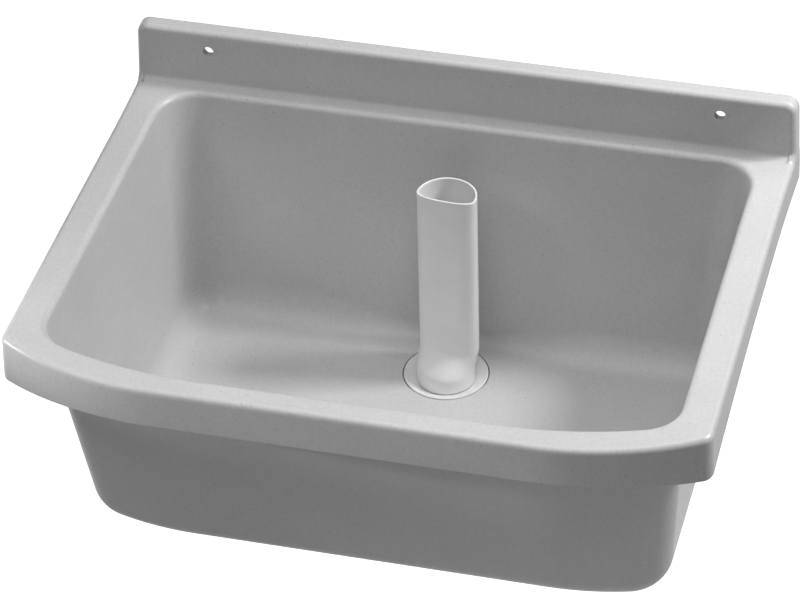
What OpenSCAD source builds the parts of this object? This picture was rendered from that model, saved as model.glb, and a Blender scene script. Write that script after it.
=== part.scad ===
// Wall-hung laundry tub with a D-section overflow standpipe.
// Origin: on the wall plane, on the centre line, at the height of the two
// wall bolts. +Z is up, the wall is on the +Y side, the front is at -Y.

/* [Rim] */
// Width across the rim
tub_w = 602; // [580:1:640]
// Distance from the wall to the front of the rim
tub_d = 450; // [440:5:480]
// Depth of the turned-down apron at the front
apron_h = 36.5; // [30:0.5:45]
// Depth of the apron where it meets the wall
apron_wall_h = 29.5; // [26:0.5:36]
// Depth of the apron at the two front corners
apron_corner_h = 43.8; // [38:0.1:46]
// Outward flare of the apron's lower edge
apron_flare = 1.2; // [0:0.1:3]
// Widening of the rim on each side where it meets the wall
wall_widen = 2; // [0:0.1:3]
// Rounding of the rim's outer top edge
edge_r = 5.5; // [3:0.5:7]
// Half-length of the straight middle of the front edge
bow_start = 160; // [120:5:180]
// Radius of the bowed front edge on each side of the straight
bow_r = 252; // [230:2:300]
// Corner radius at the ends of the front
corner_r = 13; // [8:1:20]

/* [Splash-back] */
// Height of the splash-back above the rim
splash_h = 57.5; // [50:0.5:70]
// Distance from the wall to the splash-back's front face
splash_y = 16; // [14:0.5:18]
// Thickness of the splash-back's front skin
splash_t = 7.2; // [4:0.1:8]
// Radius of the cove between splash-back and rim
cove_r = 8; // [7:0.5:10]
// Slope of the splash-back's ends from the vertical, degrees
end_draft = 2.3; // [0:0.1:4]
// Height of the wall bolts above the rim
bolt_rise = 37; // [30:1:42]
// Distance between the wall bolts
bolt_span = 467.5; // [420:0.5:500]
// Diameter of the wall-bolt holes
bolt_hole_d = 10; // [8:0.5:13]

/* [Bowl] */
// Half-width of the opening
open_hw = 270; // [262:1:272]
// Distance from the wall to the opening's back edge
open_back = 28.5; // [27:0.5:30]
// Distance from the wall to the opening's front edge
open_front = 426; // [415:1:428]
// Rounding of the opening's edge
lip_r = 6; // [4:0.5:7]
// Depth of the floor below the rim, away from the waste
bowl_depth = 231.5; // [200:0.5:250]
// Extra depth of the floor next to the waste
floor_fall = 4.8; // [2:0.1:6]
// Slope of the side walls from the vertical, degrees
side_draft = 4.35; // [2:0.05:6]
// Slope of the front wall from the vertical, degrees
front_draft = 14.8; // [8:0.1:18]
// Slope of the back wall from the vertical, degrees
back_draft = 1.8; // [1:0.1:2.5]
// Inside radius between walls and floor
floor_r = 31; // [24:1:36]
// Same radius on the back wall next to the waste
floor_r_waste = 9; // [8:0.5:14]
// Wall thickness of the moulding
wall_t = 3.5; // [3:0.1:5]

/* [Waste] */
// Distance from the wall to the waste's axis
waste_y = 87; // [86:0.5:100]
// Radius of the waste's flange
flange_r = 38.8; // [38.5:0.1:41]
// Major radius of the waste's 1 1/2 inch parallel pipe thread
tail_r = 23.9; // [23.5:0.1:24]
// Radius of the waste's bore
seat_r = 20.5; // [19.5:0.1:21]
// Length of the waste below its flange
tail_l = 62; // [56:1:80]

/* [Standpipe] */
// Outside radius of the pipe's round back
pipe_r = 27.5; // [26:0.1:27.6]
// Distance from the tube's centre to the middle of its crowned front
pipe_front = 10.2; // [8:0.1:14]
// Radius of the crowned front
pipe_bow = 75; // [60:1:150]
// Sideways offset of the tube from its round foot
pipe_off = 3.4; // [0:0.1:3.4]
// Angle at which the standpipe is turned in its seat
pipe_turn = -3.8; // [-10:0.1:10]
// Wall thickness of the pipe
pipe_t = 1.8; // [1.5:0.1:2.5]
// Height of the pipe's top above the waste's flange
pipe_h = 201.6; // [150:0.1:215]
// Radius of the pipe's round foot
foot_r = 26.9; // [26.5:0.1:27.2]
// Height at which the sloped facet starts
facet_low = 9.3; // [6:0.1:12]
// Height at which the sloped facet reaches the front
facet_high = 30.6; // [26:0.1:36]

/* [Hidden] */
$fn = 96;
hw = tub_w / 2;
// everything of the moulding is drawn from the rim's top plane, which lies
// below the origin by the rise of the bolts
rim_z = -bolt_rise;
// vertical shift of the back lip that makes cove and lip meet smoothly
lip_up = cove_r + lip_r - sqrt(pow(cove_r + lip_r, 2) - pow(open_back - lip_r - splash_y - cove_r, 2));
// angle on the lip where the cove takes over
lip_cove_a = asin((splash_y + cove_r - (open_back - lip_r)) / (cove_r + lip_r));
// level of the waste flange below the rim, a little above the floor next to it
flange_z = -(bowl_depth + floor_fall - 0.3);
// underside of the boss below the waste
boss_z = -15;
// below this level the waste's thread is free for the trap's nut; above it,
// where the washers and the backnut sit, the tail is slightly relieved
free_z = boss_z - 17;

moulding_c = [0.62, 0.62, 0.61];

// ---------------------------------------------------------------- outlines
// Half outline from the front centre to the back centre, each entry being
// [x, y, nx, ny]: straight front, bow, front corner, side, back corner, back.
nf = 4; nb = 7; nc = 7; ns = 6; nk = 8; nq = 6;
function half_outline(a, yb, yf, s, ang, rc, rb) =
    let (
        r1 = (a - rc + rc * sin(ang) - s) / sin(ang),
        cy = yf + r1 * (1 - cos(ang)) + rc * cos(ang)
    )
    concat(
        [for (i = [0 : nf]) [s * i / nf, yf, 0, -1]],
        [for (i = [1 : nb]) let (t = ang * i / nb)
            [s + r1 * sin(t), yf + r1 * (1 - cos(t)), sin(t), -cos(t)]],
        [for (i = [1 : nc]) let (t = ang + (90 - ang) * i / nc)
            [a - rc + rc * sin(t), cy - rc * cos(t), sin(t), -cos(t)]],
        [for (i = [1 : ns]) [a, cy + (yb - rb - cy) * i / ns, 1, 0]],
        [for (i = [1 : nk]) let (t = 90 * i / nk)
            [a - rb + rb * cos(t), yb - rb + rb * sin(t), cos(t), sin(t)]],
        [for (i = [1 : nq]) [(a - rb) * (1 - i / nq), yb, 0, 1]]
    );
function outline(a, yb, yf, s, ang, rc, rb) =
    let (h = half_outline(a, yb, yf, s, ang, rc, rb), n = len(h))
    concat(h, [for (i = [n - 2 : -1 : 1]) [-h[i][0], h[i][1], -h[i][2], h[i][3]]]);

// Closed solid through a stack of rings, listed from the top down, each ring
// anticlockwise seen from above, closed by a fan to a point at each end.
module loft(rings, top_pt, low_pt) {
    m = len(rings);
    n = len(rings[0]);
    pts = concat([for (r = rings) for (q = r) q], [top_pt, low_pt]);
    faces = concat(
        [for (k = [0 : m - 2]) for (i = [0 : n - 1]) let (j = (i + 1) % n)
            each [[k * n + i, k * n + j, (k + 1) * n + j],
                  [k * n + i, (k + 1) * n + j, (k + 1) * n + i]]],
        [for (i = [0 : n - 1]) [(i + 1) % n, i, m * n]],
        [for (i = [0 : n - 1]) [(m - 1) * n + i, (m - 1) * n + (i + 1) % n, m * n + 1]]
    );
    polyhedron(points = pts, faces = faces, convexity = 8);
}

// ------------------------------------------------------------ rim and apron
bow_a = asin((hw - corner_r - bow_start) / (bow_r - corner_r));
// widening of the rim's side towards the wall
function widen(y) = wall_widen * pow(max(0, 1 + min(0, y) / 110), 2);
// outline of the rim, moved outward by d; the back runs past the wall plane
function rim_outline(d) = [
    for (q = outline(hw + d, 24, -tub_d - d, bow_start, bow_a, max(1, corner_r + d), 2))
        [q[0] + q[2] * widen(q[1]), q[1], q[2], q[3]]];
// depth of the apron's lower edge: it droops towards the front corners, both
// along the front and along the sides
function part_of(v, a, b) = pow(min(1, max(0, (v - a) / (b - a))), 1.6);
function apron_depth(x, y) = min(
    apron_h + (apron_corner_h - apron_h) * part_of(abs(x), bow_start + 35, hw),
    apron_wall_h + (apron_corner_h - apron_wall_h) * part_of(-y, 200, tub_d - 35));
function rim_ring(d, z) = [for (q = rim_outline(d)) [q[0], q[1], z]];
function apron_ring(d, extra) = [for (q = rim_outline(d))
    [q[0] + apron_flare * q[2], q[1] + 0.8 * min(0, q[3]), -apron_depth(q[0], q[1]) - extra]];

module rim_block() {
    steps = [0 : 15 : 90];
    loft(concat(
            [for (t = steps) rim_ring(-edge_r * (1 - sin(t)), -edge_r * (1 - cos(t)))],
            [apron_ring(0, 0)]),
        [0, -200, 0], [0, -200, -apron_h + 3]);
}
module rim_hollow() {
    r = max(0.8, edge_r - wall_t);
    loft(concat(
            [for (t = [0 : 30 : 90]) rim_ring(-wall_t - r * (1 - sin(t)), -wall_t - r * (1 - cos(t)))],
            [apron_ring(-wall_t, 4)]),
        [0, -200, -wall_t], [0, -200, -apron_h - 10]);
}

// ------------------------------------------------------------- splash-back
// profile across the splash-back, inset by d from its front and top faces and
// by f more from the front
function splash_profile(d, zlow, f) =
    let (r = max(0.6, 5 - d), y = -splash_y + d + f)
    concat(
        [[6, zlow], [y, zlow]],
        [for (t = [0 : 15 : 90]) [y + r * (1 - cos(t)), splash_h - d - r * (1 - sin(t))]],
        [[6, splash_h - d]]
    );
// solid of that profile between -x and x with rounded, slightly sloped ends;
// r is the rounding seen from above, and the top corners are a little rounder
module splash_block(x, d, r, zlow, f = 0) {
    // sections from -x to x, drawn in most at both ends
    secs = concat([for (t = [0 : 15 : 90]) [-x + 1.5 * r * (1 - cos(t)), d + r * (1 - sin(t))]],
                  [for (t = [90 : -15 : 0]) [x - 1.5 * r * (1 - cos(t)), d + r * (1 - sin(t))]]);
    rings = [for (e = secs) [for (q = splash_profile(e[1], zlow, f))
        [e[0] + sign(e[0]) * (wall_widen - q[1] * tan(end_draft)), q[0], q[1]]]];
    m = len(rings);
    k = len(rings[0]);
    pts = [for (g = rings) for (q = g) q];
    faces = concat(
        [for (a = [0 : m - 2]) for (i = [0 : k - 1]) let (j = (i + 1) % k)
            each [[a * k + i, (a + 1) * k + j, (a + 1) * k + i],
                  [a * k + i, a * k + j, (a + 1) * k + j]]],
        [[for (i = [k - 1 : -1 : 0]) i]],
        [[for (i = [0 : k - 1]) (m - 1) * k + i]]
    );
    polyhedron(points = pts, faces = faces, convexity = 4);
}
// concave fillet along the foot of the splash-back
module cove() {
    yc = -(open_back - lip_r);
    // angle on the lip's circle where it comes down to the rim's plane
    a1 = acos((lip_r - lip_up) / lip_r);
    pts = concat(
        [[-splash_y + 1, -2], [-splash_y + 1, cove_r]],
        [for (t = [0 : 9]) let (u = t * (90 - lip_cove_a) / 9)
            [-splash_y - cove_r + cove_r * cos(u), cove_r - cove_r * sin(u)]],
        [[yc - lip_r * sin(a1), 0], [yc - lip_r * sin(a1), -2]]
    );
    rotate([90, 0, 90])
        translate([0, 0, -hw + 5])
            linear_extrude(height = tub_w - 10) polygon(pts);
}

// -------------------------------------------------------------------- bowl
// floor level under the rim at a point, lowest next to the waste
function floor_z(x, y, low) =
    let (r = sqrt(x * x + pow(y + waste_y, 2)), k = min(1, max(0, (r - 50) / 190)))
    -(bowl_depth + floor_fall * (1 - k * k * (3 - 2 * k))) - low;
// radius between wall and floor at a point of the outline
function foot_radius(x, nyy) =
    let (k = min(1, abs(x) / 150), w = max(0, nyy))
    floor_r + (floor_r_waste - floor_r) * w * w * (1 - k * k * (3 - 2 * k));
// one ring of a bowl wall: side, front and back insets are given apart, and
// d is the offset of the whole outline (outer skin d = wall_t)
function bowl_outline(d, ds, df, db, shrink) = outline(
    open_hw + d - ds, -open_back + d - db, -open_front - d + df,
    125 + 35 * min(1, df / 62), 19 - 3.5 * min(1, df / 62),
    max(3, 36 + d - shrink), max(3, 37 + d - shrink));

// rings of the wall and floor fillet; d is the skin's offset, low its drop
function wall_rings(d) = [
    for (z = [0 : 1 : 2])
        let (h = 10 + z * (bowl_depth - floor_r - 24) / 2)
        [for (q = bowl_outline(d, h * tan(side_draft), h * tan(front_draft), h * tan(back_draft), 0))
            [q[0], q[1], -h]]
];
function foot_rings(d, low) = [
    for (k = [0 : 1 : 6])
        let (
            t = k / 6,
            q0 = bowl_outline(d, 0, 0, 0, 0)
        )
        [for (i = [0 : len(q0) - 1])
            let (
                nx = q0[i][2], ny = q0[i][3],
                ws = nx * nx, wf = ny < 0 ? ny * ny : 0, wb = ny > 0 ? ny * ny : 0,
                draft = ws * side_draft + wf * front_draft + wb * back_draft,
                r = foot_radius(q0[i][0], ny) + d,
                fz = floor_z(q0[i][0] * 0.93, q0[i][1] * 0.88 - 6, low),
                zc = fz + r,
                a = draft + (90 - draft) * t,
                // plain wall position at the centre's height, then the arc
                hs = -zc * tan(side_draft), hf = -zc * tan(front_draft), hb = -zc * tan(back_draft),
                base = bowl_outline(d, hs, hf, hb, 0)[i],
                ins = r / cos(draft) - r * cos(a)
            )
            [base[0] - nx * ins, base[1] - ny * ins, zc - r * sin(a)]]
];
// rings of the floor, drawn in towards the waste's axis
function floor_rings(last, low) = [
    for (k = [1 : 1 : 4])
        let (t = [0, 0.28, 0.54, 0.76, 0.9][k])
        [for (q = last)
            let (x = q[0] * (1 - t), y = -waste_y + (q[1] + waste_y) * (1 - t))
            [x, y, floor_z(x, y, low)]]
];
module bowl_solid(d, low, top) {
    w = wall_rings(d);
    f = foot_rings(d, low);
    fl = floor_rings(f[6], low);
    loft(concat(top, w, f, fl), [0, -200, top[0][0][2]], [0, -waste_y, floor_z(0, -waste_y, low)]);
}
// rounded lip of the opening, and the open space above it
function lip_rings() = concat(
    [[for (q = bowl_outline(0, 0, 0, 0, 0)) lip_pt(q, 0, 12)]],
    [for (k = [0 : 1 : 4]) [for (q = bowl_outline(0, 0, 0, 0, 0)) lip_pt(q, k / 4, 0)]]
);
function lip_pt(q, t, up) =
    let (
        nx = q[2], ny = q[3],
        wb = ny > 0 ? ny * ny : 0,
        draft = nx * nx * side_draft + (ny < 0 ? ny * ny * front_draft : 0) + wb * back_draft,
        a0 = wb * lip_cove_a,
        a = a0 + (90 - draft - a0) * t,
        out = lip_r - lip_r * sin(a)
    )
    [q[0] + nx * out, q[1] + ny * out, -lip_r + lip_r * cos(a) + lip_up * wb + up];

module waste_recess() {
    // seat for flange and seal, countersink and hole for the tail
    translate([0, -waste_y, flange_z])
        rotate_extrude()
            polygon([[0, 8], [flange_r + 1, 8], [flange_r + 1, -4.8], [36.2, -4.8], [30, -8],
                     [tail_r + 0.7, -10.6], [tail_r + 0.7, -30], [0, -30]]);
}
module waste_boss() {
    translate([0, -waste_y, flange_z])
        rotate_extrude()
            polygon([[0, -2], [45, -2], [45, -4.5], [43.5, -10], [41, boss_z], [0, boss_z]]);
}

module basin() {
    color(moulding_c)
    translate([0, 0, rim_z])
    difference() {
        union() {
            difference() {
                union() {
                    difference() {
                        union() {
                            rim_block();
                            splash_block(hw, 0, 6, -apron_wall_h);
                        }
                        rim_hollow();
                        splash_block(hw - wall_t, wall_t, 2, -apron_h - 20, splash_t - wall_t);
                    }
                    bowl_solid(wall_t, wall_t, [[for (q = bowl_outline(wall_t, 0, 0, 0, 0)) [q[0], q[1], -1.5]]]);
                    waste_boss();
                }
                bowl_solid(0, 0, lip_rings());
            }
            cove();
        }
        waste_recess();
        // the back is cut flush with the wall
        translate([-hw - 20, 0, -400]) cube([tub_w + 40, 60, 600]);
        // wall-bolt holes
        for (s = [-1, 1])
            translate([s * bolt_span / 2, -splash_y - 8, bolt_rise])
                rotate([-90, 0, 0]) cylinder(d = bolt_hole_d, h = splash_y + 7);
    }
}

// ------------------------------------------------------------------- waste
module at_waste() translate([0, -waste_y, rim_z + flange_z]) children();

module waste_body() {
    color([0.86, 0.86, 0.85])
    at_waste()
    rotate_extrude()
        polygon([[flange_r, -0.7], [flange_r - 0.2, -0.2], [flange_r - 0.7, 0], [38, 0], [37.2, -0.4],
                 [foot_r + 0.9, -5.1], [23.2, -7.3], [seat_r + 0.6, -8.5], [seat_r, -9.6],
                 [seat_r, -tail_l], [tail_r - 1, -tail_l], [tail_r, -tail_l + 1],
                 [tail_r, free_z - 0.3], [tail_r - 0.3, free_z],
                 [tail_r - 0.3, -10.2], [29, -6.6], [36.8, -2.6], [flange_r, -2.6]]);
}
module flange_seal() {
    color([0.12, 0.12, 0.12])
    at_waste()
    rotate_extrude()
        polygon([[flange_r - 0.4, -2.6], [36.8, -2.6], [30, -6.087], [30, -8], [36.2, -4.8], [flange_r - 0.4, -4.8]]);
}
module flat_ring(r_out, r_in, z_low, h, c) {
    color(c)
    at_waste()
    translate([0, 0, z_low])
        difference() {
            cylinder(r = r_out, h = h);
            translate([0, 0, -1]) cylinder(r = r_in, h = h + 2);
        }
}
module under_washer() flat_ring(37, tail_r + 0.3, boss_z - 3, 3, [0.12, 0.12, 0.12]);
module slip_washer() flat_ring(36, tail_r + 0.25, boss_z - 4, 1, [0.9, 0.9, 0.88]);
module backnut() {
    color([0.9, 0.9, 0.88])
    at_waste()
    translate([0, 0, boss_z - 4 - 11])
        difference() {
            intersection() {
                cylinder(r = 35, h = 11, $fn = 6);
                // chamfered lower corners, and a flange face that stays whole
                translate([0, 0, -1]) cylinder(r1 = 30.5, r2 = 36.5, h = 12);
            }
            translate([0, 0, -1]) cylinder(r = tail_r + 0.05, h = 13);
        }
}

// --------------------------------------------------------------- standpipe
// The tube is half round behind and crowned in front. bow_y is the centre of
// the crown's circle, behind the tube's centre.
bow_y = pipe_bow - pipe_front;
// angle from the front at which back and crown meet, for an inset d
function corner_a(r, d) = acos((pow(pipe_bow - d, 2) - bow_y * bow_y - r * r) / (2 * r * bow_y));
// closed line of the tube's section, as angle from the front and radius
function tube_line(r, d) =
    let (c = corner_a(r, d), b = pipe_bow - d)
    concat(
        [for (i = [-12 : 12]) let (a = c * i / 12)
            [a, -bow_y * cos(a) + sqrt(b * b - pow(bow_y * sin(a), 2))]],
        [for (i = [1 : 47]) [c + (360 - 2 * c) * i / 48, r]]
    );
// ring of the section with its centre at x = off
function tube_ring(r, d, off, z) = [for (q = tube_line(r, d)) [off + q[1] * sin(q[0]), -q[1] * cos(q[0]), z]];
function foot_ring(like, r, z) = [for (q = like) [r * sin(q[0]), -r * cos(q[0]), z]];
// tube with its wall moved in by d, from the foot up to height top
module tube(d, top) {
    z0 = facet_high + 2;
    r0 = pipe_r - d;
    // from the round foot over the sloped facet to the tube's section; the
    // ends of this piece run on a little inside the foot and the tube
    loft([tube_ring(r0 - 0.5, d + 0.5, pipe_off, z0 + 2), tube_ring(r0 - 0.05, d + 0.05, pipe_off, z0),
          tube_ring(r0 - 0.05, d + 0.05, pipe_off, facet_high),
          foot_ring(tube_line(r0, d), foot_r - d - 0.4, facet_low - 0.5),
          foot_ring(tube_line(r0, d), foot_r - d - 1.2, facet_low - 1.5)],
         [pipe_off, 0, z0 + 2], [0, 0, facet_low - 1.5]);
    translate([pipe_off, 0, 0])
        intersection() {
            translate([0, 0, z0]) cylinder(r = r0, h = top - z0);
            translate([0, bow_y, z0 - 1]) cylinder(r = pipe_bow - d, h = top - z0 + 2);
        }
}
module standpipe() {
    spigot_l = 32;
    color([0.93, 0.93, 0.92])
    at_waste()
    rotate([0, 0, pipe_turn])
    difference() {
        union() {
            tube(0, pipe_h);
            // round foot
            rotate_extrude()
                polygon([[0, -6.9], [23.2, -6.85], [foot_r - 0.6, -5.35], [foot_r, -4.6], [foot_r, facet_low],
                         [0, facet_low]]);
            // spigot with its ring groove
            rotate_extrude()
                polygon([[0, -6], [seat_r - 0.9, -6], [seat_r - 0.9, -15.8], [17.4, -15.8], [17.4, -19.2],
                         [seat_r - 0.9, -19.2], [seat_r - 0.9, -spigot_l + 1.5], [seat_r - 2.2, -spigot_l],
                         [0, -spigot_l]]);
        }
        // inside of the pipe, down to the floor of the foot
        tube(pipe_t, pipe_h + 1);
        translate([0, 0, -3.5]) cylinder(r = foot_r - pipe_t, h = 3.5 + facet_low);
        // bore of the spigot
        translate([0, 0, -spigot_l - 1]) cylinder(r = 15.2, h = spigot_l + 5);
    }
}
module standpipe_seal() {
    color([0.12, 0.12, 0.12])
    at_waste()
    translate([0, 0, -17.5])
        rotate_extrude() translate([seat_r - 0.05 - 1.5, 0]) circle(r = 1.5, $fn = 48);
}

basin();
waste_body();
flange_seal();
under_washer();
slip_washer();
backnut();
standpipe();
standpipe_seal();
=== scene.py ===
import math

import bmesh
import bpy
import numpy as np
from mathutils import Matrix, Vector


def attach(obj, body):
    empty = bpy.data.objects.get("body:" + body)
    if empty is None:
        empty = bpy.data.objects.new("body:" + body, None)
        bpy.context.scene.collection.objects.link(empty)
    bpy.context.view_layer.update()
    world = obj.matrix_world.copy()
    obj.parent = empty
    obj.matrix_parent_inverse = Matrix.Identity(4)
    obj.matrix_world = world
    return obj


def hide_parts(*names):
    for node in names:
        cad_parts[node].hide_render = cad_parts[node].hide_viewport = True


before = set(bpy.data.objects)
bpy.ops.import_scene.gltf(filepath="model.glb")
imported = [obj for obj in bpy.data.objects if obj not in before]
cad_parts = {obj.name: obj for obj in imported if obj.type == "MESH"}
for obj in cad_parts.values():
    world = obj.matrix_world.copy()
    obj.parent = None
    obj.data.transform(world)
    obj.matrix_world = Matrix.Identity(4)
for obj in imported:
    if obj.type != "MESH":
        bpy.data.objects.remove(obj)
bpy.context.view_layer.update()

# ----------------------------------------------------------------- sizes, mm
# All shapes are worked out in millimetres with z = 0 at the rim's top plane,
# y = 0 at the wall and the front at -y. RISE moves them into the row's frame.
RISE = 37.0
HW, DEPTH = 301.0, 450.0
APRON, APRON_WALL, APRON_CORNER, FLARE = 36.5, 29.5, 43.8, 1.2
WIDEN, END_DRAFT = 2.0, math.tan(math.radians(2.3))
EDGE_R, BOW_S, BOW_R, CORNER_R = 5.5, 160.0, 252.0, 13.0
SPLASH_H, SPLASH_Y, SPLASH_T, TOP_R = 57.5, 16.0, 7.2, 10.0
BOLT_SPAN, BOLT_D = 467.5, 10.0
OPEN_HW, OPEN_BACK, OPEN_FRONT, LIP_R = 270.0, 28.5, 426.0, 6.0
BOWL_DEPTH, FALL = 231.5, 4.8
T_SIDE, T_FRONT, T_BACK = (math.tan(math.radians(a)) for a in (4.35, 14.8, 1.8))
FLOOR_R, FLOOR_RW, WALL = 31.0, 9.0, 3.5
WASTE_Y, FLANGE_R, TAIL_R, SEAT_R, TAIL_L = 87.0, 38.8, 23.9, 20.5, 62.0
FLANGE_Z = -(BOWL_DEPTH + FALL - 0.3)
PIPE_R, PIPE_RL, PIPE_FRONT, PIPE_T, PIPE_H, FOOT_R = 27.4, 27.5, 10.2, 1.8, 201.6, 26.9
PIPE_OFF, PIPE_TURN = 3.4, math.radians(-3.8)
FACET_LOW, FACET_HIGH, FOOT_Z = 9.3, 30.6, -5.2


def smooth(k):
    k = np.clip(k, 0.0, 1.0)
    return k * k * (3 - 2 * k)


# ------------------------------------------------------------------- meshes
def make(name, verts, faces, mat, sharp=32.0):
    """A mesh object from points in mm (rim frame) and faces."""
    v = np.asarray(verts, float).copy()
    v[:, 2] -= RISE
    me = bpy.data.meshes.new(name)
    me.from_pydata((v / 1000.0).tolist(), [], faces)
    me.validate()
    o = bpy.data.objects.new(name, me)
    bpy.context.scene.collection.objects.link(o)
    tidy(o, sharp)
    if mat is not None:
        me.materials.append(mat)
    return o


def tidy(o, sharp):
    me = o.data
    bm = bmesh.new()
    bm.from_mesh(me)
    bmesh.ops.remove_doubles(bm, verts=bm.verts, dist=2e-7)
    bmesh.ops.dissolve_degenerate(bm, edges=bm.edges, dist=1e-7)
    bmesh.ops.recalc_face_normals(bm, faces=bm.faces)
    bm.to_mesh(me)
    bm.free()
    me.shade_smooth()
    me.set_sharp_from_angle(angle=math.radians(sharp))


def ring_faces(rows, n, wrap_rows=False):
    """Quads between successive rings of n points each."""
    out = []
    last = rows if wrap_rows else rows - 1
    for k in range(last):
        a, b = k * n, ((k + 1) % rows) * n
        for i in range(n):
            j = (i + 1) % n
            out.append((a + i, a + j, b + j, b + i))
    return out


# ------------------------------------------------- outlines seen from above
NF, NB, NC, NK, NQ = 24, 20, 14, 22, 50


def outline(a, yb, yf, s, ang, rc, rb, side):
    """Ring of x, y, nx, ny: straight front, bow, corner, side, corner, back."""
    sa, ca = math.sin(ang), math.cos(ang)
    r1 = (a - rc + rc * sa - s) / sa
    cy = yf + r1 * (1 - ca) + rc * ca
    seg = []
    f = np.linspace(0, 1, NF + 1)
    seg.append(np.stack([s * f, np.full_like(f, yf), 0 * f, 0 * f - 1], 1))
    t = ang * np.linspace(0, 1, NB + 1)[1:]
    seg.append(np.stack([s + r1 * np.sin(t), yf + r1 * (1 - np.cos(t)), np.sin(t), -np.cos(t)], 1))
    t = ang + (np.pi / 2 - ang) * np.linspace(0, 1, NC + 1)[1:]
    seg.append(np.stack([a - rc + rc * np.sin(t), cy - rc * np.cos(t), np.sin(t), -np.cos(t)], 1))
    f = side(cy, yb - rb)
    seg.append(np.stack([0 * f + a, f, 0 * f + 1, 0 * f], 1))
    t = (np.pi / 2) * np.linspace(0, 1, NK + 1)[1:]
    seg.append(np.stack([a - rb + rb * np.cos(t), yb - rb + rb * np.sin(t), np.cos(t), np.sin(t)], 1))
    f = np.linspace(0, 1, NQ + 1)[1:]
    seg.append(np.stack([(a - rb) * (1 - f), 0 * f + yb, 0 * f, 0 * f + 1], 1))
    h = np.concatenate(seg)
    h[-1, 0] = 0.0
    m = h[-2:0:-1] * [-1, 1, -1, 1]
    return np.concatenate([h, m])


# ---------------------------------- profile of rim, cove and splash-back
def cove_curve():
    """The line that the rim follows up into the splash-back, by arc length:
    a soft turn, a short slope and a tighter turn."""
    ds, edge = 0.02, 1.2
    legs = [(edge, 0.0), (4.6, 1 / 6.0), (2.6, 0.0), (3.2, 1 / 4.0), (edge, 0.0)]
    k = np.concatenate([np.full(int(round(l / ds)), v) for l, v in legs])
    w = smooth(1 - np.abs(np.linspace(-1, 1, 2 * int(edge * 0.7 / ds) + 1)))
    k = np.convolve(k, w / w.sum(), "same")
    th = np.concatenate([[0], np.cumsum((k[1:] + k[:-1]) / 2 * ds)])
    th *= (math.pi / 2) / th[-1]
    y = np.concatenate([[0], np.cumsum(np.cos((th[1:] + th[:-1]) / 2) * ds)])
    z = np.concatenate([[0], np.cumsum(np.sin((th[1:] + th[:-1]) / 2) * ds)])
    y += -SPLASH_Y - y[-1]
    return np.arange(len(y)) * ds + y[0], y, z, th


CS, CY, CZ, CT = cove_curve()
S_TOP = CS[-1] + (SPLASH_H - CZ[-1])


def theta(s):
    return np.interp(s, CS, CT)


def bend(x, s, d):
    """Point at depth d under the bent sheet of rim and splash-back."""
    y = np.where(s < CS[0], s, np.where(s > CS[-1], CY[-1], np.interp(s, CS, CY)))
    z = np.where(s < CS[0], 0.0, np.where(s > CS[-1], CZ[-1] + s - CS[-1], np.interp(s, CS, CZ)))
    t = theta(s)
    return np.stack([x, y + d * np.sin(t), z - d * np.cos(t)], 1)


def rim_height(y):
    return np.interp(y, CY, CZ, left=0.0)


def skin_t(s):
    """Thickness of the sheet: rim, thickening into the splash-back."""
    return WALL + (SPLASH_T - WALL) * smooth(theta(s) / (math.pi / 2))


# ------------------------------------------------------------------ basin
BOW_A = math.asin((HW - CORNER_R - BOW_S) / (BOW_R - CORNER_R))


def wall_corner():
    """Place on the cove from which the apron's lower corner at the wall is met."""
    m = (CT > 0.09) & (CT < 1.45)
    return float(np.interp(-APRON_WALL, CZ[m] + CY[m] / np.tan(CT[m]), CS[m]))


def outer_side(lo, hi):
    """Sample places along the rim's side, close together over the cove."""
    corner = wall_corner()
    a = np.linspace(lo, CS[0] - 6, 40)[1:]
    b = np.linspace(CS[0] - 6, corner, 24)[1:]
    c = np.linspace(corner, CS[-1] + 3, 20)[1:]
    d = np.linspace(CS[-1] + 3, hi, 12)[1:]
    return np.concatenate([a, b, c, d])


NS = 39 + 23 + 19 + 11


def even_side(lo, hi):
    return np.linspace(lo, hi, NS + 1)[1:]


def part_of(v, a, b):
    return np.clip((v - a) / (b - a), 0, 1) ** 1.6


def apron_depth(x, y):
    """Depth of the apron's lower edge, drooping towards the front corners."""
    return np.minimum(APRON + (APRON_CORNER - APRON) * part_of(np.abs(x), BOW_S + 35, HW),
                      APRON_WALL + (APRON_CORNER - APRON_WALL) * part_of(-y, 200.0, DEPTH - 35))


def widened(rows):
    """Moves the rim's sides and the splash-back's ends outward near the wall."""
    out = []
    for r in rows:
        r = r.copy()
        e = WIDEN * np.clip(1 + np.minimum(0, r[:, 1]) / 110, 0, 1) ** 2 - END_DRAFT * np.maximum(0, r[:, 2])
        r[:, 0] += np.sign(r[:, 0]) * e * smooth((np.abs(r[:, 0]) - 274) / 18)
        out.append(r)
    return out


def rim_ring(d):
    return outline(HW + d, S_TOP + d, -DEPTH - d, BOW_S, BOW_A, CORNER_R + d, TOP_R + d, outer_side)


def bowl_ring(h, d=0.0):
    """Outline of the bowl's wall at depth h, moved outward by d."""
    k = h / 236.0
    return outline(OPEN_HW - h * T_SIDE + d, -OPEN_BACK - h * T_BACK + d, -OPEN_FRONT + h * T_FRONT - d,
                   125 + 35 * k, math.radians(19 - 3.5 * k), 36 + d, 37 + d, even_side)


def bowl_ring_at(depths):
    """x, y of the wall line at a depth given for each point of the ring."""
    hs = np.linspace(-6, 250, 17)
    stack = np.stack([bowl_ring(h)[:, :2] for h in hs])
    out = np.empty((len(depths), 2))
    f = np.clip((depths - hs[0]) / (hs[1] - hs[0]), 0, len(hs) - 1.001)
    k = f.astype(int)
    w = (f - k)[:, None]
    i = np.arange(len(depths))
    return stack[k, i] * (1 - w) + stack[k + 1, i] * w


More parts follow.
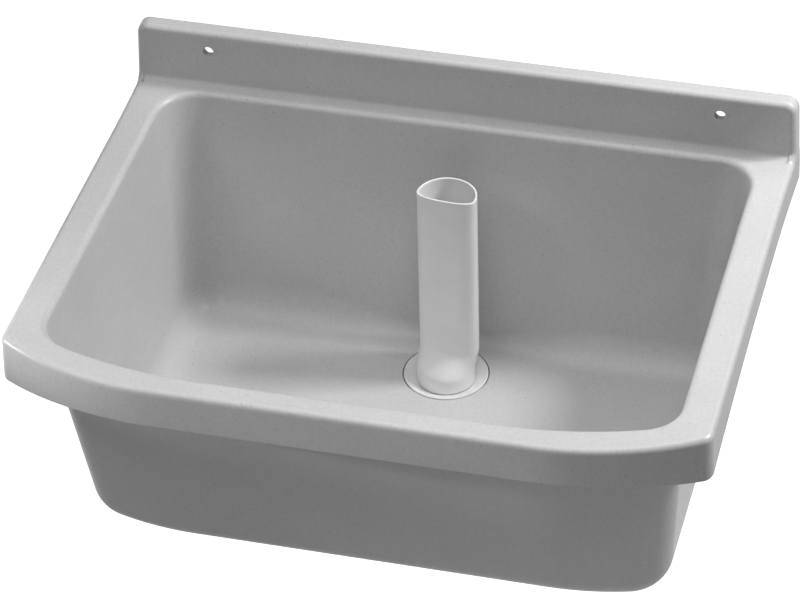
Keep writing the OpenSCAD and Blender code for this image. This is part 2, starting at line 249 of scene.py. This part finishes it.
def floor_z(x, y):
    r = np.sqrt(x * x + (y + WASTE_Y) ** 2)
    return -(BOWL_DEPTH + FALL * (1 - smooth((r - 50) / 190)))


def basin_rings():
    base = bowl_ring(0.0)
    n = base[:, 2:4]
    lower = bowl_ring(100.0)
    draft = np.arctan(-((lower[:, :2] - base[:, :2]) * n).sum(1) / 100.0)
    td, cd = np.tan(draft), np.cos(draft)
    wb = np.where(n[:, 1] > 0, n[:, 1] ** 2, 0.0)

    # -- lip: a circle of radius LIP_R that touches both the wall and the rim
    a = np.radians(np.linspace(0, 60, 1201))[None, :]
    zc = np.full(len(base), -LIP_R)
    for _ in range(6):
        rho = LIP_R / cd + zc * td
        yy = base[:, 1:2] + n[:, 1:2] * (rho[:, None] - LIP_R * np.sin(a))
        val = rim_height(yy) - LIP_R * np.cos(a)
        pick = val.argmin(1)
        zc = val[np.arange(len(base)), pick]
    a0 = np.radians(pick * 60.0 / 1200)

    def lip(t):
        ang = a0 + (np.pi / 2 - draft - a0) * t
        z = zc + LIP_R * np.cos(ang)
        e = LIP_R / cd + zc * td - LIP_R * np.sin(ang) - z * td
        w = bowl_ring_at(-z)
        return np.concatenate([w + n * e[:, None], z[:, None]], 1)

    lip_rows = [lip(t) for t in np.linspace(0, 1, 12)]
    start, end = lip_rows[0], lip_rows[-1]

    # -- rim and splash-back: a flat sheet, bent along the cove
    ls = np.where(start[:, 1] < CY[0], start[:, 1], np.interp(start[:, 1], CY, CS))
    b = rim_ring(-EDGE_R)
    sheet = []
    for u in np.linspace(0, 1, 45)[1:-1]:
        t = u ** 1.7
        sheet.append(bend(start[:, 0] * (1 - t) + b[:, 0] * t, ls * (1 - t) + b[:, 1] * t, 0.0))

    # -- rounded outer edge, then the skirt: apron, ends and top of the splash
    def fold(off, depth, extra=0.0):
        q = rim_ring(-EDGE_R)
        side = off + EDGE_R
        return bend(q[:, 0] + q[:, 2] * (side + extra), q[:, 1] + q[:, 3] * side, depth)

    q0 = rim_ring(0.0)
    s0 = q0[:, 1]
    p = bend(q0[:, 0], s0, 0.0)
    th = theta(s0)
    # depth at which the skirt ends: at the apron's edge or at the wall
    with np.errstate(divide="ignore", invalid="ignore"):
        d_wall = np.where(th > 1e-4, -p[:, 1] / np.sin(th), 1e9)
        y_end = p[:, 1] + 30 * np.sin(th)
        ap = apron_depth(q0[:, 0], y_end)
        d_low = np.where(np.cos(th) > 1e-4, (p[:, 2] + ap) / np.cos(th), 1e9)
    d_end = np.minimum(d_wall, d_low)
    flare = FLARE * np.abs(q0[:, 2]) * np.cos(th)
    flare_y = 0.8 * np.minimum(0, q0[:, 3])

    def skirt(off, d):
        f = np.clip((d - EDGE_R) / np.maximum(d_end - EDGE_R, 1e-3), 0, 1.05)
        q = q0
        x = q[:, 0] + q[:, 2] * off + np.sign(q[:, 0]) * flare * f
        s = q[:, 1] + q[:, 3] * off + flare_y * f
        return bend(x, s, d)

    edge = [skirt(-EDGE_R * (1 - math.sin(t)), EDGE_R * (1 - math.cos(t)))
            for t in np.radians(np.linspace(0, 90, 10))]
    rb = 1.3
    down = [skirt(0.0, EDGE_R + (d_end - rb - EDGE_R) * u) for u in np.linspace(0, 1, 8)[1:]]
    foot = [skirt(-rb * (1 - math.cos(t)), d_end - rb + rb * math.sin(t)) for t in np.radians(np.linspace(0, 90, 6))[1:]]
    foot += [skirt(-(WALL - rb) - rb * math.sin(t), d_end - rb + rb * math.cos(t)) for t in np.radians(np.linspace(0, 90, 6))]
    ti = skin_t(s0)
    ri = 2.0
    up = [skirt(-WALL, d_end - rb + (ti + ri - d_end + rb) * u) for u in np.linspace(0, 1, 5)[1:]]
    inner = [skirt(-WALL - ri * (1 - math.cos(t)), ti + ri * (1 - math.sin(t))) for t in np.radians(np.linspace(0, 90, 6))[1:]]

    # -- underside of rim and back of the splash-back's skin, to the bowl
    cw = bowl_ring_at(np.full(len(base), 10.0)) + n * WALL
    cw = np.concatenate([cw, np.full((len(base), 1), -10.0)], 1)
    gap = 7.0
    ay = cw[:, 1] + n[:, 1] * gap
    oy, oz = CY + skin_t(CS) * np.sin(CT), CZ - skin_t(CS) * np.cos(CT)
    as_ = np.where(ay < oy[0], ay, np.interp(ay, oy, CS))
    ax = cw[:, 0] + n[:, 0] * gap
    q = rim_ring(-WALL - ri)
    under = []
    for u in 1 - (1 - np.linspace(0, 1, 25)[1:]) ** 1.6:
        s = q[:, 1] * (1 - u) + as_ * u
        under.append(bend(q[:, 0] * (1 - u) + ax * u, s, skin_t(s)))
    av = under[-1]
    bz = np.interp(cw[:, 1], oy, oz, left=-WALL)
    bv = np.stack([cw[:, 0], cw[:, 1], np.maximum(bz, -WALL)], 1)
    throat = [av * (1 - u) ** 2 + bv * 2 * u * (1 - u) + cw * u * u for u in np.linspace(0, 1, 7)[1:]]

    # -- wall and floor, inside (d = 0) and outside (d = WALL)
    def foot_r(x, y, outside):
        k = smooth(np.abs(x) / 150)
        r = FLOOR_R + (FLOOR_RW - FLOOR_R) * wb * (1 - k)
        return r + (WALL - (2.6 * wb * (1 - k))) if outside else r

    def shell(d, drop):
        r = foot_r(base[:, 0], base[:, 1], d > 0)
        fz = floor_z(base[:, 0] * 0.8, base[:, 1] * 0.8 - 20) - drop
        for _ in range(4):
            zz = fz + r
            w = bowl_ring_at(-zz) + n * d
            e = w - n * (r / cd)[:, None]
            fz = floor_z(e[:, 0], e[:, 1]) - drop
        zz = fz + r
        w = bowl_ring_at(-zz) + n * d
        rows = []
        for t in np.linspace(0, 1, 16):
            ang = draft + (np.pi / 2 - draft) * t
            ins = r / cd - r * np.cos(ang)
            rows.append(np.concatenate([w - n * ins[:, None], (zz - r * np.sin(ang))[:, None]], 1))
        top = rows[0][:, 2]
        return rows, top

    feet, top = shell(0.0, 0.0)
    wall = []
    for u in np.linspace(0, 1, 13)[1:-1]:
        z = end[:, 2] * (1 - u) + top * u
        w = bowl_ring_at(-z)
        wall.append(np.concatenate([w, z[:, None]], 1))

    def to_circle(last, radius, drop, count, at=None):
        ang = np.arctan2(last[:, 1] + WASTE_Y, last[:, 0])
        c = np.stack([radius * np.cos(ang), -WASTE_Y + radius * np.sin(ang)], 1)
        rows = []
        for u in np.linspace(0, 1, count + 1)[1:]:
            t = 1 - (1 - u) ** 1.15
            xy = last[:, :2] * (1 - t) + c * t
            rows.append(np.concatenate([xy, (floor_z(xy[:, 0], xy[:, 1]) - drop)[:, None]], 1))
        return rows, ang

    floor, ang = to_circle(feet[-1], FLANGE_R + 1.5, 0.0, 20)

    def ring_at(r, z):
        return np.stack([r * np.cos(ang), -WASTE_Y + r * np.sin(ang), np.full(len(ang), z)], 1)

    fz0 = -(BOWL_DEPTH + FALL)
    rr = FLANGE_R + 1.0
    seat = [ring_at(rr + 0.8 - 0.8 * math.sin(t), fz0 - 0.8 * (1 - math.cos(t))) for t in np.radians([25, 50, 75, 90])]
    seat += [ring_at(r, FLANGE_Z + z) for r, z in
             [(rr, -1.5), (rr, -4.5), (rr - 0.3, -4.8), (36.2, -4.8), (30, -8), (TAIL_R + 0.7, -10.6),
              (TAIL_R + 0.7, -14.4), (TAIL_R + 1.3, -15), (40.4, -15), (41.2, -14.6), (43.6, -9.6), (44.6, -5.6)]]
    feet_o, top_o = shell(WALL, WALL)
    floor_o, ang_o = to_circle(feet_o[-1], 46.0, WALL, 12)
    # the outer skin is listed from the boss outwards
    out = floor_o[::-1] + feet_o[::-1]
    start_o = cw[:, 2]
    wall_o = []
    for u in np.linspace(0, 1, 11)[1:-1]:
        z = top_o * (1 - u) + start_o * u
        w = bowl_ring_at(-z) + n * WALL
        wall_o.append(np.concatenate([w, z[:, None]], 1))
    out += wall_o + throat[::-1] + under[::-1][1:] + [bend(q[:, 0], q[:, 1], skin_t(q[:, 1]))]
    out += inner[::-1][1:] + up[::-1] + foot[::-1] + down[::-1] + edge[::-1]
    out += sheet[::-1] + lip_rows + wall + feet + floor + seat
    return widened(out)


def build_basin(mat):
    rows = basin_rings()
    n = len(rows[0])
    v = np.concatenate(rows)
    o = make("basin_shell", v, ring_faces(len(rows), n, True), mat, 38.0)
    cutters = []
    for sx in (-1, 1):
        r = BOLT_D / 2
        y0 = -SPLASH_Y
        prof = [(r + 0.52, y0 - 3), (r + 0.52, y0 - 0.03)] + \
               [(r + 0.5 - 0.5 * math.sin(t), y0 + 0.5 * (1 - math.cos(t)) - 0.02) for t in np.radians([10, 25, 40, 55, 70, 90])] + \
               [(r, y0 + SPLASH_T + 4)]
        t = np.linspace(0, 2 * np.pi, 48, endpoint=False)
        pts = [[sx * BOLT_SPAN / 2 + q * np.cos(a), yy, RISE + q * np.sin(a)] for q, yy in prof for a in t]
        fs = ring_faces(len(prof), 48)
        fs.append(tuple(range(48)))
        fs.append(tuple(range((len(prof) - 1) * 48, len(prof) * 48))[::-1])
        c = make("hole_tool", pts, fs, None)
        cutters.append(c)
        m = o.modifiers.new("hole", "BOOLEAN")
        m.operation = "DIFFERENCE"
        m.object = c
        m.solver = "EXACT"
    bpy.context.view_layer.update()
    dg = bpy.context.evaluated_depsgraph_get()
    me = bpy.data.meshes.new_from_object(o.evaluated_get(dg))
    o.modifiers.clear()
    old = o.data
    o.data = me
    bpy.data.meshes.remove(old)
    for c in cutters:
        bpy.data.objects.remove(c)
    me.shade_smooth()
    me.set_sharp_from_angle(angle=math.radians(38))
    return o


# ------------------------------------------------------------ small pieces
def build_waste(mat):
    n, pitch = 144, 2.309
    t = np.linspace(0, 2 * np.pi, n, endpoint=False)
    top = [(SEAT_R, -9.6), (SEAT_R + 0.18, -9.0), (SEAT_R + 0.75, -8.4), (23.2, -7.3), (FOOT_R - 0.4, -5.75),
           (FOOT_R + 0.9, -5.1), (33.0, -2.36), (36.6, -0.74), (37.2, -0.42), (37.7, -0.14), (38.1, -0.02), (38.4, 0.0),
           (FLANGE_R - 0.34, -0.06), (FLANGE_R - 0.1, -0.28), (FLANGE_R, -0.62), (FLANGE_R, -2.3),
           (FLANGE_R - 0.3, -2.6), (37.0, -2.6), (36.5, -2.74), (29, -6.6), (TAIL_R + 0.5, -9.97), (TAIL_R, -10.45),
           (TAIL_R, -14.0)]
    rows = [np.stack([r * np.cos(t), -WASTE_Y + r * np.sin(t), np.full(n, FLANGE_Z + z)], 1) for r, z in top]
    # helical thread: rounded crests, fading in and out at its ends
    z0, z1 = -15.0, -TAIL_L + 0.9
    for z in np.arange(z0, z1, -pitch / 10):
        ph = ((z / pitch - t / (2 * np.pi)) % 1.0)
        form = np.clip(1.5 * np.abs(2 * ph - 1) - 0.25, 0, 1)
        fade = smooth((z0 - z) / 3.0) * smooth((z - z1) / 2.2 + 0.15)
        r = TAIL_R - 1.35 * fade * form - 0.7 * smooth(1 - (z - z1) / 1.6)
        rows.append(np.stack([r * np.cos(t), -WASTE_Y + r * np.sin(t), np.full(n, FLANGE_Z + z)], 1))
    for r, z in [(TAIL_R - 1.5, -TAIL_L + 0.25), (TAIL_R - 1.8, -TAIL_L), (SEAT_R + 0.5, -TAIL_L),
                 (SEAT_R, -TAIL_L + 0.5), (SEAT_R, -40), (SEAT_R, -20)]:
        rows.append(np.stack([r * np.cos(t), -WASTE_Y + r * np.sin(t), np.full(n, FLANGE_Z + z)], 1))
    return make("waste_flange_and_tail", np.concatenate(rows), ring_faces(len(rows), n, True), mat, 34.0)


def soft_ramp(z, z0, z1, k0, k1):
    """0 below z0, 1 above z1, straight in between, with soft ends."""
    sp = lambda v, k: k * np.logaddexp(0.0, v / k)
    return (sp(z - z0, k0) - sp(z - z1, k1)) / (z1 - z0)


def build_standpipe(mat):
    na = 240
    # angles from the front (-y), closer together near the two corners
    grid = np.linspace(-np.pi, np.pi, 4001)
    w = 1 + 2.5 * np.exp(-((np.abs(grid) - 1.42) / 0.3) ** 2)
    cum = np.concatenate([[0], np.cumsum((w[1:] + w[:-1]) / 2)])
    a = np.interp(np.linspace(0, cum[-1], na, endpoint=False), cum, grid)
    sn, cs = np.sin(a), np.cos(a)
    ct, st = math.cos(PIPE_TURN), math.sin(PIPE_TURN)

    def section(z, inset):
        """Points of the tube's section at a height: half round, with a crowned front."""
        r = PIPE_RL + (PIPE_R - PIPE_RL) * max(0.0, z) / PIPE_H - inset
        b = PIPE_FRONT - inset
        n = np.where(sn < 0, 2.35, 2.75)
        front = (np.abs(sn / r) ** n + np.abs(np.maximum(cs, 0) / b) ** n) ** (-1 / n)
        rad = np.where(cs > 0, front, r)
        # down to the round foot over the sloped facet
        k = float(soft_ramp(z, FACET_LOW, FACET_HIGH, 1.6, 0.6))
        rad = (FOOT_R - 0.2 - inset) * (1 - k) + rad * k
        return PIPE_OFF * k + rad * sn, -rad * cs

    def place(x, y, z):
        z = np.full(na, float(z))
        return np.stack([x * ct - y * st, -WASTE_Y + x * st + y * ct, FLANGE_Z + z], 1)

    def ring(r, z):
        return place(r * sn, -r * cs, z)

    rows = []
    # spigot, from its bore outwards and up
    fz = FOOT_Z
    for r, z in [(15.2, -27), (15.2, -31.6), (15.6, -32), (SEAT_R - 2.6, -32), (SEAT_R - 2.2, -31.8), (SEAT_R - 0.95, -30.4),
                 (SEAT_R - 0.9, -30.0), (SEAT_R - 0.9, -19.4), (SEAT_R - 1.1, -19.2), (17.4, -19.2), (17.4, -15.8),
                 (SEAT_R - 1.1, -15.8), (SEAT_R - 0.9, -15.6), (SEAT_R - 0.9, fz - 2.0), (SEAT_R - 0.6, fz - 1.7),
                 (23.2, fz - 1.6), (FOOT_R - 0.9, fz - 0.1), (FOOT_R - 0.35, fz + 0.1), (FOOT_R - 0.05, fz + 0.45),
                 (FOOT_R, fz + 0.9)]:
        rows.append(ring(r, z))
    zs = [fz + 3, -0.5, 2.0] + list(np.linspace(4.0, FACET_HIGH + 5, 56)) + \
        list(np.linspace(FACET_HIGH + 10, PIPE_H - 6, 18)) + [PIPE_H - 2.5, PIPE_H - 0.7]
    for z in zs:
        rows.append(place(*section(z, 0.0), z))
    tx, ty = section(PIPE_H, 0.0)
    ix, iy = section(PIPE_H, PIPE_T)
    for off, dz in [(0.06, -0.28), (0.25, -0.08), (0.5, 0.0), (PIPE_T - 0.5, 0.0), (PIPE_T - 0.25, -0.08), (PIPE_T - 0.06, -0.28)]:
        k = off / PIPE_T
        rows.append(place(tx * (1 - k) + ix * k, ty * (1 - k) + iy * k, PIPE_H + dz))
    for z in [PIPE_H - 0.8, PIPE_H - 4] + list(np.linspace(PIPE_H - 12, FACET_HIGH + 12, 14)) + \
            list(np.linspace(FACET_HIGH + 6, 4.0, 36)) + [1.0, -1.0, -2.5]:
        rows.append(place(*section(z, PIPE_T), z))
    rows.append(ring(FOOT_R - PIPE_T - 0.8, -3.4))
    for r, z in [(20.0, -3.7), (15.8, -3.9), (15.3, -4.3), (15.2, -4.9), (15.2, -16)]:
        rows.append(ring(r, z))
    return make("standpipe_tube", np.concatenate(rows), ring_faces(len(rows), na, True), mat, 40.0)


def build_nut(mat):
    """Backnut: hexagon with a thin round flange face and chamfers; the bore is plain, its rows all keep one radius."""
    n, pitch = 144, 2.309
    t = np.linspace(0, 2 * np.pi, n, endpoint=False)
    zt, h = -19.0, 11.0
    ap = 35 * math.cos(math.pi / 6)
    # rounded hexagon radius
    m = np.mod(t, math.pi / 3) - math.pi / 6
    hexa = ap / np.cos(m)
    hexa = np.minimum(hexa, 34.2 + 0 * hexa)
    rows = []

    def row(r, z):
        rows.append(np.stack([r * np.cos(t), -WASTE_Y + r * np.sin(t), np.full(n, FLANGE_Z + z)], 1))

    r_in = TAIL_R + 0.05
    row(np.full(n, r_in + 1.0), zt)
    row(np.full(n, 29.6), zt)
    row(np.full(n, 29.9), zt - 0.3)
    row(np.full(n, 29.9), zt - 0.9)
    row(np.minimum(hexa, 30.4), zt - 1.0)
    row(np.minimum(hexa, 32.0), zt - 1.35)
    row(hexa, zt - 2.0)
    for z in np.linspace(zt - 3, zt - h + 2.2, 5):
        row(hexa, z)
    row(np.minimum(hexa, 33.2), zt - h + 1.2)
    row(np.minimum(hexa, 31.0), zt - h + 0.35)
    row(np.full(n, 29.4), zt - h)
    row(np.full(n, r_in + 1.2), zt - h)
    for z in np.arange(zt - h + 0.8, zt - 0.6, pitch / 10):
        ph = ((z / pitch - t / (2 * np.pi)) % 1.0)
        row(r_in + 0.05 + 0.0 * ph, z)
    return make("backnut_hex", np.concatenate(rows), ring_faces(len(rows), n, True), mat, 30.0)


# --------------------------------------------------------------- materials
def nodes_of(name):
    m = bpy.data.materials.new(name)
    m.use_nodes = True
    nt = m.node_tree
    nt.nodes.clear()
    out = nt.nodes.new("ShaderNodeOutputMaterial")
    b = nt.nodes.new("ShaderNodeBsdfPrincipled")
    nt.links.new(b.outputs["BSDF"], out.inputs["Surface"])
    return m, nt, b


def add(nt, kind, **kw):
    n = nt.nodes.new(kind)
    for k, v in kw.items():
        if k.startswith("in_"):
            n.inputs[int(k[3:])].default_value = v
        else:
            setattr(n, k, v)
    return n


def noise(nt, co, scale, detail=3.0, rough=0.5):
    n = nt.nodes.new("ShaderNodeTexNoise")
    n.inputs["Scale"].default_value = scale
    n.inputs["Detail"].default_value = detail
    n.inputs["Roughness"].default_value = rough
    nt.links.new(co, n.inputs["Vector"])
    return n


def ramp(nt, fac, stops):
    r = nt.nodes.new("ShaderNodeValToRGB")
    e = r.color_ramp.elements
    while len(e) < len(stops):
        e.new(0.5)
    for i, (p, c) in enumerate(stops):
        e[i].position = p
        e[i].color = (c, c, c, 1) if isinstance(c, (int, float)) else (*c, 1)
    nt.links.new(fac, r.inputs["Fac"])
    return r


def mix(nt, fac, a, b, blend="MIX"):
    m = nt.nodes.new("ShaderNodeMix")
    m.data_type = "RGBA"
    m.blend_type = blend
    for key, v in ((0, fac), (6, a), (7, b)):
        if isinstance(v, bpy.types.NodeSocket):
            nt.links.new(v, m.inputs[key])
        else:
            m.inputs[key].default_value = v if key == 0 else (*v, 1)
    return m.outputs[2]


def grains(nt, co, scale, share, near, far):
    """Mask of scattered grains: some cells of a Voronoi pattern, each a small blob."""
    v = nt.nodes.new("ShaderNodeTexVoronoi")
    v.inputs["Scale"].default_value = scale
    nt.links.new(co, v.inputs["Vector"])
    blob = ramp(nt, v.outputs["Distance"], [(near, 1.0), (far, 0.0)])
    sep = nt.nodes.new("ShaderNodeSeparateColor")
    nt.links.new(v.outputs["Color"], sep.inputs[0])
    pick = ramp(nt, sep.outputs[0], [(1 - share - 0.02, 0.0), (1 - share + 0.02, 1.0)])
    m = add(nt, "ShaderNodeMath", operation="MULTIPLY")
    nt.links.new(blob.outputs["Color"], m.inputs[0])
    nt.links.new(pick.outputs["Color"], m.inputs[1])
    return m.outputs[0]


def scaled(nt, value, k):
    m = add(nt, "ShaderNodeMath", operation="MULTIPLY", in_1=k)
    nt.links.new(value, m.inputs[0])
    return m.outputs[0]


def granite(name="moulding_granite", tone=0.53):
    """Grey moulded plastic with fine dark and light grains under a satin skin."""
    m, nt, b = nodes_of(name)
    co = nt.nodes.new("ShaderNodeTexCoord").outputs["Object"]
    cloud = noise(nt, co, 9.0, 3.0)
    base = ramp(nt, cloud.outputs["Fac"], [(0.3, tone * 0.965), (0.7, tone * 1.035)])
    mottle = noise(nt, co, 330.0, 3.0, 0.6)
    g = ramp(nt, mottle.outputs["Fac"], [(0.36, 0.965), (0.64, 1.035)])
    col = mix(nt, 1.0, base.outputs["Color"], g.outputs["Color"], "MULTIPLY")
    fine = noise(nt, co, 1500.0, 3.0, 0.7)
    g = ramp(nt, fine.outputs["Fac"], [(0.36, 0.962), (0.64, 1.038)])
    col = mix(nt, 1.0, col, g.outputs["Color"], "MULTIPLY")
    dark, light = (tone * 0.42,) * 3, (min(0.9, tone * 1.75),) * 3
    col = mix(nt, scaled(nt, grains(nt, co, 520.0, 0.24, 0.12, 0.26), 0.30), col, light)
    col = mix(nt, scaled(nt, grains(nt, co, 640.0, 0.28, 0.12, 0.28), 0.40), col, dark)
    col = mix(nt, scaled(nt, grains(nt, co, 240.0, 0.12, 0.10, 0.22), 0.55), col, dark)
    nt.links.new(col, b.inputs["Base Color"])
    rn = noise(nt, co, 60.0, 3.0)
    rr = nt.nodes.new("ShaderNodeMapRange")
    rr.inputs["To Min"].default_value = 0.29
    rr.inputs["To Max"].default_value = 0.40
    nt.links.new(rn.outputs["Fac"], rr.inputs["Value"])
    nt.links.new(rr.outputs["Result"], b.inputs["Roughness"])
    # a faint orange-peel skin
    peel = noise(nt, co, 240.0, 2.0)
    bump = nt.nodes.new("ShaderNodeBump")
    bump.inputs["Strength"].default_value = 0.10
    bump.inputs["Distance"].default_value = 0.0004
    nt.links.new(peel.outputs["Fac"], bump.inputs["Height"])
    nt.links.new(bump.outputs["Normal"], b.inputs["Normal"])
    b.inputs["Specular IOR Level"].default_value = 0.5
    return m


def plastic(name, low, high, rough, peel_scale=300.0, peel=0.06, scale=40.0):
    """Plain moulded plastic: slight cloudiness, satin skin, faint moulding texture."""
    m, nt, b = nodes_of(name)
    co = nt.nodes.new("ShaderNodeTexCoord").outputs["Object"]
    cl = noise(nt, co, scale, 4.0)
    c = ramp(nt, cl.outputs["Fac"], [(0.3, low), (0.7, high)])
    nt.links.new(c.outputs["Color"], b.inputs["Base Color"])
    rn = noise(nt, co, scale * 3, 3.0)
    rr = nt.nodes.new("ShaderNodeMapRange")
    rr.inputs["To Min"].default_value = rough - 0.05
    rr.inputs["To Max"].default_value = rough + 0.07
    nt.links.new(rn.outputs["Fac"], rr.inputs["Value"])
    nt.links.new(rr.outputs["Result"], b.inputs["Roughness"])
    pn = noise(nt, co, peel_scale, 2.0)
    bump = nt.nodes.new("ShaderNodeBump")
    bump.inputs["Strength"].default_value = peel
    bump.inputs["Distance"].default_value = 0.0003
    nt.links.new(pn.outputs["Fac"], bump.inputs["Height"])
    nt.links.new(bump.outputs["Normal"], b.inputs["Normal"])
    return m


def rubber(name):
    m, nt, b = nodes_of(name)
    co = nt.nodes.new("ShaderNodeTexCoord").outputs["Object"]
    cl = noise(nt, co, 350.0, 5.0, 0.65)
    c = ramp(nt, cl.outputs["Fac"], [(0.3, (0.012, 0.012, 0.012)), (0.7, (0.03, 0.03, 0.03))])
    nt.links.new(c.outputs["Color"], b.inputs["Base Color"])
    rr = nt.nodes.new("ShaderNodeMapRange")
    rr.inputs["To Min"].default_value = 0.6
    rr.inputs["To Max"].default_value = 0.8
    nt.links.new(cl.outputs["Fac"], rr.inputs["Value"])
    nt.links.new(rr.outputs["Result"], b.inputs["Roughness"])
    bump = nt.nodes.new("ShaderNodeBump")
    bump.inputs["Strength"].default_value = 0.3
    bump.inputs["Distance"].default_value = 0.0002
    nt.links.new(cl.outputs["Fac"], bump.inputs["Height"])
    nt.links.new(bump.outputs["Normal"], b.inputs["Normal"])
    return m


MOULDING = granite()
PIPE_MAT = plastic("standpipe_white", (0.76, 0.76, 0.76), (0.80, 0.80, 0.80), 0.30)
WASTE_MAT = plastic("waste_white", (0.74, 0.74, 0.74), (0.78, 0.78, 0.78), 0.32)
NUT_MAT = plastic("nut_white", (0.50, 0.50, 0.495), (0.56, 0.56, 0.555), 0.55, 500.0, 0.15, 90.0)
RUBBER_MAT = rubber("seal_rubber_black")

# ------------------------------------------------------------------ pieces
basin = build_basin(MOULDING)
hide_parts("basin")
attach(basin, "tub")

waste = build_waste(WASTE_MAT)
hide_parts("waste_body")
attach(waste, "tub")

pipe = build_standpipe(PIPE_MAT)
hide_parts("standpipe")
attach(pipe, "standpipe")

nut = build_nut(NUT_MAT)
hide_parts("backnut")
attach(nut, "tub")

for node, mat in (("flange_seal", RUBBER_MAT), ("under_washer", RUBBER_MAT), ("standpipe_seal", RUBBER_MAT),
                  ("slip_washer", NUT_MAT)):
    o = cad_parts[node]
    o.data.materials.clear()
    o.data.materials.append(mat)
    for poly in o.data.polygons:
        poly.material_index = 0

# ------------------------------------------------------- floor and lights
FLOOR_Z = -0.90
me = bpy.data.meshes.new("studio_floor")
me.from_pydata([(-40, -40, FLOOR_Z), (40, -40, FLOOR_Z), (40, 40, FLOOR_Z), (-40, 40, FLOOR_Z)], [], [(0, 1, 2, 3)])
floor = bpy.data.objects.new("studio_floor", me)
bpy.context.scene.collection.objects.link(floor)
fm, fnt, fb = nodes_of("studio_floor_pale_painted_glow")
fb.inputs["Base Color"].default_value = (0.8, 0.8, 0.8, 1)
fb.inputs["Roughness"].default_value = 0.9
fb.inputs["Specular IOR Level"].default_value = 0.1
# painted light: the floor glows with a pool of emission behind the tub, and the glow fades out under it and to its
# right
fsep = fnt.nodes.new("ShaderNodeSeparateXYZ")
fnt.links.new(fnt.nodes.new("ShaderNodeTexCoord").outputs["Object"], fsep.inputs[0])
fade = fnt.nodes.new("ShaderNodeMapRange")
fade.interpolation_type = "SMOOTHSTEP"
fade.inputs["From Min"].default_value = -0.1
fade.inputs["From Max"].default_value = 0.3
fade.inputs["To Max"].default_value = 0.85
fnt.links.new(fsep.outputs["Y"], fade.inputs["Value"])
rim = fnt.nodes.new("ShaderNodeMapRange")
rim.interpolation_type = "SMOOTHSTEP"
rim.inputs["From Min"].default_value = 0.30
rim.inputs["From Max"].default_value = 0.45
rim.inputs["To Min"].default_value = 1.0
rim.inputs["To Max"].default_value = 0.0
fnt.links.new(fsep.outputs["X"], rim.inputs["Value"])
pool = add(fnt, "ShaderNodeMath", operation="MULTIPLY")
fnt.links.new(fade.outputs["Result"], pool.inputs[0])
fnt.links.new(rim.outputs["Result"], pool.inputs[1])
# the pool drives the floor's emission: a painted glow, the floor is no lamp
fnt.links.new(pool.outputs[0], fb.inputs["Emission Strength"])
fb.inputs["Emission Color"].default_value = (1, 1, 1, 1)
me.materials.append(fm)

world = bpy.data.worlds.new("studio")
bpy.context.scene.world = world
world.use_nodes = True
bg = world.node_tree.nodes["Background"]
bg.inputs["Color"].default_value = (1, 1, 1, 1)
bg.inputs["Strength"].default_value = 0.08


def area(name, el, az, dist, size, power, target=(0, -0.22, -0.12)):
    """A soft square light at an elevation and azimuth, in degrees, seen from the target."""
    l = bpy.data.lights.new(name, "AREA")
    l.shape = "SQUARE"
    l.size = size
    l.energy = power
    o = bpy.data.objects.new(name, l)
    bpy.context.scene.collection.objects.link(o)
    e, a = math.radians(el), math.radians(az)
    d = Vector((math.cos(a) * math.cos(e), math.sin(a) * math.cos(e), math.sin(e)))
    o.location = Vector(target) + d * dist
    o.rotation_euler = d.to_track_quat("Z", "Y").to_euler()
    return o


# the key stands to the right, slightly behind the wall's plane
area("key", 45, 21.5, 1.5, 0.25, 17.2)
area("top", 75, 90, 3.0, 2.0, 26.3)
area("front", 45, 270, 3.0, 2.0, 8.9)
area("front_top", 75, 270, 3.0, 2.0, 17.0)
area("front_left", 45, 215, 1.5, 0.4, 2.5)
# a low light from the left brushes along the front edge
kick = bpy.data.lights.new("kicker", "SPOT")
kick.energy = 66.0
kick.spot_size = math.radians(14)
kick.spot_blend = 0.15
kick.shadow_soft_size = 0.04
ko = bpy.data.objects.new("kicker", kick)
bpy.context.scene.collection.objects.link(ko)
ke, ka = math.radians(6), math.radians(192)
kd = Vector((math.cos(ka) * math.cos(ke), math.sin(ka) * math.cos(ke), math.sin(ke)))
ko.location = Vector((-0.29, -0.41, 0.078)) + kd * 1.3
ko.rotation_euler = kd.to_track_quat("Z", "Y").to_euler()

# ------------------------------------------------------------------ camera
# view from the front right, fitted to the photograph's frame of 800 x 607
AZ, EL, ROLL = math.radians(15.25), math.radians(37.75), math.radians(-1.65)
FOCAL_PX, OFF_X, OFF_Y, DIST = 3817.33, 0.52, 18.35, 3274.15
back = np.array([math.sin(AZ) * math.cos(EL), -math.cos(AZ) * math.cos(EL), math.sin(EL)])
right = np.array([math.cos(AZ), math.sin(AZ), 0.0])
up = np.cross(back, right)
r2 = right * math.cos(ROLL) + up * math.sin(ROLL)
u2 = -right * math.sin(ROLL) + up * math.cos(ROLL)
pos = (np.array([0.0, -245.0, -60.0 - RISE]) + r2 * OFF_X + u2 * OFF_Y + back * DIST) / 1000.0
cam = bpy.data.cameras.new("camera")
cam.sensor_fit = "HORIZONTAL"
cam.sensor_width = 36.0
cam.lens = FOCAL_PX * 36.0 / 800.0
cam.clip_start, cam.clip_end = 0.05, 100.0
co = bpy.data.objects.new("camera", cam)
bpy.context.scene.collection.objects.link(co)
co.matrix_world = Matrix([[r2[0], u2[0], back[0], pos[0]], [r2[1], u2[1], back[1], pos[1]],
                          [r2[2], u2[2], back[2], pos[2]], [0, 0, 0, 1]])
bpy.context.scene.camera = co

vs = bpy.context.scene.view_settings
vs.view_transform = "Standard"
vs.look = "None"
vs.exposure = 0.0
vs.gamma = 1.0

bpy.context.view_layer.update()
